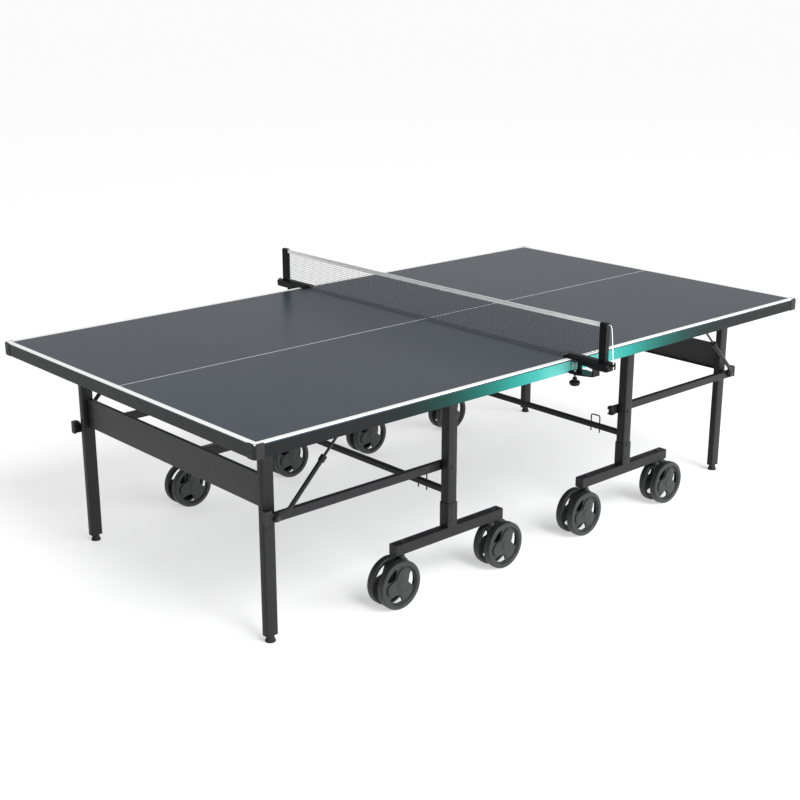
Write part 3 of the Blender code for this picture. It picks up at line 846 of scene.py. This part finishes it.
pin = {
    "x": 1.179,  # from the net line, for the rail's pin and the leg's pivot
    "height": 0.436,
    "pivotHeight": 0.720,
}
leg = {
    "corner": 0.0040,
    "inner": 0.5325,
    "outer": 0.5605,
    "pivotY": 0.5685,
    "panelBoltY": 0.519,
    "panelBolts": (0.476, 0.528),
    "footRings": [  # radius and height, up the foot
        (0.0000, 0.0000), (0.0170, 0.0000), (0.0178, 0.0008), (0.0178, 0.0040), (0.0172, 0.0052),
        (0.0158, 0.0068), (0.0147, 0.0096), (0.0137, 0.0130), (0.0130, 0.0165), (0.0127, 0.0200),
        (0.0120, 0.0212), (0.0052, 0.0214), (0.0052, 0.0300), (0.0000, 0.0300),
    ],
    "nutRings": [(0.0052, 0.0212), (0.0104, 0.0212), (0.0104, 0.0231), (0.0052, 0.0231)],
}


def uprightTube(low, high, side, inner, outer, corner):
    # An upright tube between two distances from the table's middle
    start, end = sorted((sides[side] * inner, sides[side] * outer))
    return squareTube((low.x, start, low.z), (high.x, end, high.z), 2, corner)


def addLeg(half, side):
    node = f"leg_{side}_{half}"
    name = title(side, half)
    low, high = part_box(node)
    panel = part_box("leg_cross_panel_" + half)
    tube = uprightTube(low, high, side, leg["inner"], leg["outer"], leg["corner"])
    legX, legY = (low.x + high.x) / 2, sides[side] * (leg["inner"] + leg["outer"]) / 2
    piece("leg" + name, tube, "steel", "legs_" + half, [node])
    plug = [(x + legX, y + legY) for x, y in roundedRect(0.0445, 0.0285, 0.0042)]
    stub = [(x + legX, y + legY) for x, y in roundedRect(0.0390, 0.0230, 0.0020)]
    lip = slab(plug, 2, low.z - 0.0030, low.z + 0.0002)
    plug = together(lip, slab(stub, 2, low.z, low.z + 0.010))
    piece("legPlug" + name, plug, "cap", "legs_" + half, (), 0.0006)

    node = f"leveller_{side}_{half}"
    foot = lathe(leg["footRings"], (legX, legY, 0), (0, 0, 1), 40)
    nut = lathe(leg["nutRings"], (legX, legY, 0), (0, 0, 1), 6)
    piece("foot" + name, foot, "rubber", node, [node])
    piece("footNut" + name, nut, "bolt", node, (), 0.0005)

    # The pin that carries the link rail and the stay, with its spacer and its knob
    direction = Vector((0, sides[side], 0))
    base = at(half, side, pin["x"], 0, pin["height"])
    spacer = [(0.0100, 0.5600), (0.0100, 0.5764), (0.0050, 0.5766), (0.0050, 0.6052)]
    piece("railPin" + name, lathe(spacer, base, direction, 24), "bolt", "legs_" + half)
    knob = [(0, 0.6048), (0.0085, 0.6048), (0.0090, 0.6055), (0.0090, 0.6085)]
    knob += [(0.0070, 0.6097), (0.0030, 0.6100), (0, 0.6100)]
    piece("railPinHead" + name, lathe(knob, base, direction, 24), "bolt", "legs_" + half)
    # The bolts that hold the panel
    panelX = panel[0].x if half == "a" else panel[1].x
    out = Vector((halves[half], 0, 0))
    for k, z in enumerate(leg["panelBolts"]):
        base = Vector((panelX, sides[side] * leg["panelBoltY"], z))
        piece(f"panelBolt{name}{k + 1}", boltHead(base, out, 0.0052, 0.0030), "bolt", "legs_" + half)
    # The pivot at the leg's top
    base = at(half, side, pin["x"], leg["pivotY"], pin["pivotHeight"])
    piece("legPivot" + name, boltHead(base, direction, 0.0075, 0.0050), "bolt", "top_" + half)


panelFold = 0.0018


def addPanel(half):
    node = "leg_cross_panel_" + half
    low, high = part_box(node)
    # A shallow tray section: its face is flat, and its top and bottom edges are folded in
    face, back = (low.x, high.x) if half == "a" else (high.x, low.x)
    inside = face - halves[half] * panelFold
    under, over = low.z + panelFold, high.z - panelFold
    outline = [(face, low.z), (face, high.z), (back, high.z), (back, over)]
    outline += [(inside, over), (inside, under), (back, under), (back, low.z)]
    tray = slab(outline, 1, low.y, high.y)
    piece("panel" + title(half), tray, "panel", "legs_" + half, [node], 0.0007, 3)


trolley = {
    "bolts": (0.299, 0.247),  # heights of the two bolts through the socket
    "socketTop": 0.309,
    "socketGrow": 0.0026,  # how far the socket stands out round its post
    "postInner": 0.600,
    "postOuter": 0.638,
    "postX": 0.467,
    "middle": 0.619,
    "beamEnds": (0.218, 0.720),
    "beamHeights": (0.183, 0.222),
    "stems": (0.256, 0.682),
}


def addPost(half, side):
    node = f"post_{side}_{half}"
    name = title(side, half)
    low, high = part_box(node)
    y = sides[side]
    tube = uprightTube(low, high, side, trolley["postInner"], trolley["postOuter"], 0.0035)
    piece("post" + name, tube, "steel", "trolley_" + half, [node])
    out, inward = Vector((0, y, 0)), Vector((0, -y, 0))
    middle = (low.x + high.x) / 2
    bolt = boltHead((middle, y * 0.6378, pin["height"]), out, 0.0082, 0.0058)
    piece("postBolt" + name, bolt, "bolt", "trolley_" + half)
    spacer = [(0, 0), (0.0075, 0), (0.0075, 0.0022), (0.0048, 0.0024), (0.0048, 0.0255)]
    spacer += [(0.0080, 0.0258), (0.0080, 0.0278), (0.0060, 0.0282), (0, 0.0282)]
    spacer = lathe(spacer, (middle, y * 0.6003, pin["height"]), inward, 24)
    piece("postPin" + name, spacer, "bolt", "trolley_" + half)
    pivot = boltHead((middle, y * 0.646, pin["pivotHeight"]), out, 0.0085, 0.0055)
    piece("postPivot" + name, pivot, "bolt", "top_" + half)


def addBeam(half, side):
    node = f"castor_beam_{side}_{half}"
    name = title(side, half)
    s, y = halves[half], sides[side]
    middle = y * trolley["middle"]
    start, end = sorted(s * x for x in trolley["beamEnds"])
    bottom, top = trolley["beamHeights"]
    tube = squareTube((start, middle - 0.0185, bottom), (end, middle + 0.0185, top), 0, 0.0030)
    piece("beam" + name, tube, "steel", "trolley_" + half, [node])
    for k, (x, out) in enumerate(((start, -1), (end, 1))):
        height = (bottom + top) / 2
        lip = [(a + middle, b + height) for a, b in roundedRect(0.0365, 0.0385, 0.0032)]
        stub = [(a + middle, b + height) for a, b in roundedRect(0.0325, 0.0345, 0.0018)]
        stub = slab(stub, 0, x - out * 0.012, x + out * 0.0002)
        plug = together(slab(lip, 0, x, x + out * 0.0024), stub)
        piece(f"beamPlug{name}{k + 1}", plug, "cap", "trolley_" + half, (), 0.0008)
    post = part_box(f"post_{side}_{half}")
    grow = trolley["socketGrow"]
    low = (post[0].x - grow, middle - 0.019 - grow, 0.2217)
    high = (post[1].x + grow, middle + 0.019 + grow, trolley["socketTop"])
    socket = squareTube(low, high, 2, 0.0040, 0.0022)
    piece("socket" + name, socket, "steel", "trolley_" + half)
    out = Vector((0, y, 0))
    for k, z in enumerate(trolley["bolts"]):
        base = (s * trolley["postX"], y * 0.6405, z)
        piece(f"socketBolt{name}{k + 1}", boltHead(base, out, 0.0072, 0.0045), "bolt", "trolley_" + half)
    for k, x in enumerate(trolley["stems"]):
        cap = boltHead((s * x, middle, 0.2218), (0, 0, 1), 0.0085, 0.0040)
        piece(f"stemCap{name}{k + 1}", cap, "bolt", "trolley_" + half)


cross = {
    "x": 0.462,
    "half": 0.010,
    "heights": (0.333, 0.353),
    "loopWire": 0.0026,
    "loopMiddle": 0.4825,
    "loopArm": 0.0213,
    "loopHeights": (0.317, 0.3855),
    "loopBend": 0.008,
}


def addCrossTube(half):
    node = "cross_tube_" + half
    nodeLow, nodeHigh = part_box(node)
    x = halves[half] * cross["x"]
    bottom, top = cross["heights"]
    low, high = (x - cross["half"], nodeLow.y, bottom), (x + cross["half"], nodeHigh.y, top)
    tube = squareTube(low, high, 1, 0.0028, 0.0015)
    piece("crossTube" + title(half), tube, "steel", "trolley_" + half, [node])
    middle, arm, bend = cross["loopMiddle"], cross["loopArm"], cross["loopBend"]
    foot, head = cross["loopHeights"]
    for side in sides:
        route = [(middle - arm, foot)]
        route += arc((middle - arm + bend, head - bend), bend, 180, 90, 6)
        route += arc((middle + arm - bend, head - bend), bend, 90, 0, 6)
        route.append((middle + arm, foot))
        points = [(x, sides[side] * y, z) for y, z in route]
        wire("catchLoop" + title(side, half), points, cross["loopWire"], "bolt", "trolley_" + half)


rail = {
    "y": (0.577, 0.597),
    "ends": (0.430, 1.215),
    "heights": (0.421, 0.451),
    "proud": 0.0006,  # how far the end pieces stand out at the sides
    "hook": [
        (0.434, 0.4195), (0.434, 0.4525), (0.418, 0.4525), (0.4145, 0.4480), (0.4145, 0.4400),
        (0.4215, 0.4400), (0.4225, 0.4320), (0.4215, 0.4250), (0.4150, 0.4240), (0.4160, 0.4195),
    ],
    "block": [
        (1.2120, 0.4195), (1.2185, 0.4195), (1.2185, 0.4650), (1.1960, 0.4650), (1.1935, 0.4610),
        (1.1935, 0.4515), (1.2120, 0.4515),
    ],
}


def addRail(half, side):
    node = f"link_rail_{side}_{half}"
    name = title(side, half)
    s, body = halves[half], "rails_" + half
    inner, outer = sorted(sides[side] * y for y in rail["y"])
    start, end = sorted(s * x for x in rail["ends"])
    bottom, top = rail["heights"]
    tube = squareTube((start, inner, bottom), (end, outer, top), 0, 0.0030, 0.0016)
    piece("rail" + name, tube, "steel", body, [node])
    # A moulded hook closes the inner end, and a block with a raised lip the outer one
    for label, outline in (("railHook", rail["hook"]), ("railBlock", rail["block"])):
        outline = rounded(mirrored(outline, s), 0.0015, 2)
        ending = slab(outline, 1, inner - rail["proud"], outer + rail["proud"])
        piece(label + name, ending, "cap", body, (), 0.0006)


stay = {
    "reach": 0.420,
    "tube": (0.050, 0.231),
    "tubeRadius": 0.0076,
    "rodRadius": 0.0046,
    "rodStart": 0.205,
    "y": 0.624,
    "eyeY": 0.6012,
    "foot": [  # distance up the stay, y, and half the width and thickness there
        (0.0120, 0.6012, 0.0120, 0.0024),
        (0.0200, 0.6050, 0.0100, 0.0027),
        (0.0380, 0.6200, 0.0085, 0.0038),
        (0.0480, 0.6240, 0.0076, 0.0060),
        (0.0560, 0.6240, 0.0072, 0.0072),
    ],
}


def addStay(half, side):
    name = title(side, half)
    slope = Vector((-1, 0, 1)).normalized()

    def along(distance, y=stay["y"]):
        place = Vector((pin["x"], 0, pin["height"])) + slope * distance
        return at(half, side, place.x, y, place.z)

    direction = (along(1) - along(0)).normalized()
    start, end = stay["tube"]
    bore, radius = stay["rodRadius"] + 0.0009, stay["tubeRadius"]
    tube = [(bore, start + 0.012), (bore, end), (radius, end)]
    tube += [(radius, start + 0.003), (radius * 0.8, start)]
    tube = lathe(tube, along(0), direction, 28)
    collar = [(bore, end - 0.012), (0.0100, end - 0.012), (0.0110, end - 0.0105)]
    collar += [(0.0110, end + 0.0075), (0.0100, end + 0.0095), (bore, end + 0.0095)]
    collar = lathe(collar, along(0), direction, 28)
    # The flattened foot bends in to its eye on the pin
    level = Vector((0, 1, 0))
    across = direction.cross(level).normalized()
    rings = []
    for distance, y, width, thick in stay["foot"]:
        centre = along(distance, y)
        outline = roundedRect(2 * width, 2 * thick, min(width, thick) * 0.95, 4)
        rings.append([centre + across * u + level * v for u, v in outline])
    eye = [(0.0056, -0.0024), (0.0120, -0.0024), (0.0125, 0), (0.0120, 0.0024), (0.0056, 0.0024)]
    eye = lathe(eye, along(0, stay["eyeY"]), level, 28)
    whole = together(tube, collar, loft(rings), eye)
    tubes, rods = "stay_tubes_" + half, "stay_rods_" + half
    piece("stayTube" + name, whole, "steel", tubes, [f"stay_tube_{side}_{half}"])
    radius, start, end = stay["rodRadius"], stay["rodStart"], stay["reach"]
    rod = [(0, start), (radius, start), (radius, end - 0.004), (0, end - 0.004)]
    rod = lathe(rod, along(0), direction, 24)
    shoe = [(0, -0.006), (0.0078, -0.006), (0.0085, -0.005)]
    shoe += [(0.0085, 0.005), (0.0078, 0.006), (0, 0.006)]
    shoe = lathe(shoe, along(end), level, 24)
    piece("stayRod" + name, rod, "bolt", rods, [f"stay_rod_{side}_{half}"])
    piece("stayShoe" + name, shoe, "cap", rods)


for half in halves:
    addTop(half)
    addPanel(half)
    addCrossTube(half)
    for side in sides:
        addCorner(half, side)
        addLeg(half, side)
        addPost(half, side)
        addBeam(half, side)
        addRail(half, side)
        addStay(half, side)
    print("half", half, "made")

# Castors

castor = {
    "radius": 0.086,
    "trail": 0.036,
    "windowTurn": 10,  # degrees from level to the middle of the first window
    "window": [(0.0635, -29), (0.0645, -11), (0.0645, 11), (0.0635, 29), (0.0390, 19), (0.0355, -6)],
    "starReach": (0.0310, 0.0605),  # how far the raised star reaches, at its least and most
    "starPoints": 96,
    "starFaces": (0.0306, 0.0384),
    "starBevel": 0.0011,
}


def wheelProfile():
    # From the middle of the outer face, over the tread and back to the middle of the inner one
    face = [(0.0, 0.0350), (0.028, 0.0345), (0.0640, 0.0325)]
    face += [(0.0665, 0.0332), (0.0690, 0.0394), (0.0705, 0.0408)]
    tread = [(0.0790, 0.0410), (0.0828, 0.0402), (0.0852, 0.0378), (0.0860, 0.0345), (0.0860, 0.0190)]
    tread += [(0.0852, 0.0158), (0.0830, 0.0136), (0.0795, 0.0128)]
    back = [(0.0735, 0.0128), (0.0715, 0.0150), (0.0700, 0.0282), (0.0290, 0.0286), (0.0185, 0.0250)]
    back += [(0.0175, 0.0130), (0.0, 0.0130)]
    return face + tread + back


def windowOutline(turn):
    corners = []
    for radius, angle in castor["window"]:
        a = math.radians(angle + turn)
        corners.append((radius * math.cos(a), radius * math.sin(a)))
    return rounded(corners, 0.007, 4)


def starOutline(turn):
    least, most = castor["starReach"]
    points = []
    for i in range(castor["starPoints"]):
        angle = math.tau * i / castor["starPoints"]
        wave = -math.cos(3 * (angle - math.radians(turn)))
        lobe = (wave + 1) / 2
        radius = least + (most - least) * lobe**0.8
        points.append((radius * math.cos(angle), radius * math.sin(angle)))
    return points


def applied(made):
    # The object's modifiers made into its mesh
    bpy.context.view_layer.update()
    worked = made.evaluated_get(bpy.context.evaluated_depsgraph_get())
    mesh = bpy.data.meshes.new_from_object(worked)
    bpy.data.objects.remove(made)
    return mesh


def loose(name, shape):
    return inScene(bpy.data.objects.new(name, meshOf(name, shape, 0)))


def makeWheelMesh():
    turn = castor["windowTurn"]
    wheel = loose("wheel", lathe(wheelProfile(), (0, 0, 0), (0, 1, 0), 72))
    star = loose("star", slab(starOutline(turn), 1, *castor["starFaces"]))
    edges = star.modifiers.new("edges", "BEVEL")
    edges.width = castor["starBevel"]
    edges.segments = 2
    windows = [slab(windowOutline(turn + 120 * k), 1, 0.005, 0.050) for k in range(3)]
    windows = loose("windows", together(*windows))
    for other, operation in ((star, "UNION"), (windows, "DIFFERENCE")):
        step = wheel.modifiers.new(operation, "BOOLEAN")
        step.operation = operation
        step.object = other
    whole = applied(wheel)
    bpy.data.objects.remove(star)
    bpy.data.objects.remove(windows)

    shape = bmesh.new()
    shape.from_mesh(whole)
    mirror = shape.copy()
    bmesh.ops.scale(mirror, vec=(1, -1, 1), verts=mirror.verts)
    cap = [(0.0, 0.0404), (0.0126, 0.0402), (0.0138, 0.0396), (0.0150, 0.0396)]
    cap += [(0.0162, 0.0402), (0.0172, 0.0392), (0.0176, 0.0370)]
    caps = [lathe(cap, (0, 0, 0), (0, way, 0), 32) for way in (1, -1)]
    axle = lathe([(0.0058, -0.0135), (0.0058, 0.0135)], (0, 0, 0), (0, 1, 0), 20)
    bpy.data.meshes.remove(whole)
    return meshOf("wheelPair", together(shape, mirror, *caps, axle), 30)


yoke = {
    "half": 0.0105,
    "collar": [  # radius and height, up the stem
        (0.0102, 0.1600), (0.0124, 0.1650), (0.0124, 0.1680), (0.0096, 0.1700),
        (0.0096, 0.1790), (0.0124, 0.1796), (0.0124, 0.1826),
    ],
}


def makeYoke():
    outline = [(-0.0170, 0.1600), (-0.0170, 0.1480), (-0.0040, 0.1200)]
    outline += arc((castor["trail"], castor["radius"]), 0.0200, 190, 400, 14)
    outline += [(0.0420, 0.1320), (0.0220, 0.1600)]
    body = slab(outline, 1, -yoke["half"], yoke["half"])
    stem = lathe([(0, 0.150), *yoke["collar"], (0, 0.1826)], (0, 0, 0), (0, 0, 1), 28)
    return together(body, stem)


wheelMesh = makeWheelMesh()
wheelMesh.materials.append(finishes["castor"])
for half in halves:
    for number in (1, 2, 3, 4):
        low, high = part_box(f"castor_wheels_{number}_{half}")
        centre = (low + high) / 2
        wheels = inScene(bpy.data.objects.new(f"wheels{number}{title(half)}", wheelMesh))
        wheels.location = (centre.x, centre.y, castor["radius"])
        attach(wheels, f"wheels_{number}_{half}")
        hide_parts(f"castor_wheels_{number}_{half}")

        # The odd castors trail towards the table's end, and the even ones towards the net
        away = halves[half] if number % 2 else -halves[half]
        shape = makeYoke()
        if away < 0:
            halfTurn(shape)
        stemPlace = (centre.x - away * castor["trail"], centre.y, 0)
        bmesh.ops.translate(shape, verts=shape.verts, vec=stemPlace)
        stands = [f"castor_yoke_{number}_{half}"]
        piece(f"yoke{number}{title(half)}", shape, "castor", f"castor_{number}_{half}", stands, 0.0012)
print("castors made")

# Floor and light

studio = {
    "floor": (0.52, 0.52, 0.52),
    "floorGlow": 0.47,
    "floorSize": 700,
    "floorDrop": 0.0004,
    "sky": 0.56,
    "sunTurn": -6,  # degrees round from the near side towards +X
    "sunHeight": 46,
    "sunStrength": 1.7,
    "sunSoft": 22,
    "panelPlace": (2.6, -8.0, 1.5),
    "panelSize": (11.0, 2.4),
    "panelPower": 2300,
    "panelAim": (-0.3, -0.4, 0.45),
}


def addStudio():
    shape = bmesh.new()
    bmesh.ops.create_grid(shape, x_segments=8, y_segments=8, size=studio["floorSize"] / 2)
    mesh = bpy.data.meshes.new("floor")
    shape.to_mesh(mesh)
    shape.free()
    floor = inScene(bpy.data.objects.new("floor", mesh))
    floor.location = (0, 0, -studio["floorDrop"])
    made = Finish("floorPaint", studio["floor"], 0.6, Specular_IOR_Level=0.1)
    made.paint(made.mottle(0.99, 1.0, 0.6))
    made.shader.inputs["Emission Color"].default_value = (1, 1, 1, 1)
    made.shader.inputs["Emission Strength"].default_value = studio["floorGlow"]
    mesh.materials.append(made.material)

    world = bpy.data.worlds.new("sky")
    bpy.context.scene.world = world
    world.use_nodes = True
    tree = world.node_tree
    lit = tree.nodes["Background"]
    seen = tree.nodes.new("ShaderNodeBackground")
    for background in (lit, seen):
        background.inputs["Color"].default_value = (1, 1, 1, 1)
    lit.inputs["Strength"].default_value = studio["sky"]
    # Seen directly, the sky is as bright as the floor
    either = tree.nodes.new("ShaderNodeMixShader")
    path = tree.nodes.new("ShaderNodeLightPath")
    sources = (path.outputs["Is Camera Ray"], lit.outputs[0], seen.outputs[0])
    for source, socket in zip(sources, either.inputs):
        tree.links.new(source, socket)
    tree.links.new(either.outputs[0], tree.nodes["World Output"].inputs["Surface"])

    sun = bpy.data.lights.new("sun", "SUN")
    sun.energy = studio["sunStrength"]
    sun.angle = math.radians(studio["sunSoft"])
    toSun = towards(math.radians(studio["sunTurn"]), math.radians(studio["sunHeight"]))
    hung = inScene(bpy.data.objects.new("sun", sun))
    hung.rotation_mode = "QUATERNION"
    hung.rotation_quaternion = toSun.to_track_quat("Z", "Y")

    panel = bpy.data.lights.new("panel", "AREA")
    panel.shape = "RECTANGLE"
    panel.size, panel.size_y = studio["panelSize"]
    panel.energy = studio["panelPower"]
    standing = inScene(bpy.data.objects.new("panel", panel))
    standing.visible_camera = False
    standing.visible_glossy = False
    standing.location = studio["panelPlace"]
    standing.rotation_mode = "QUATERNION"
    away = Vector(studio["panelPlace"]) - Vector(studio["panelAim"])
    standing.rotation_quaternion = away.to_track_quat("Z", "Y")
    bpy.context.scene.view_settings.view_transform = "Standard"


addStudio()
print("studio lit")
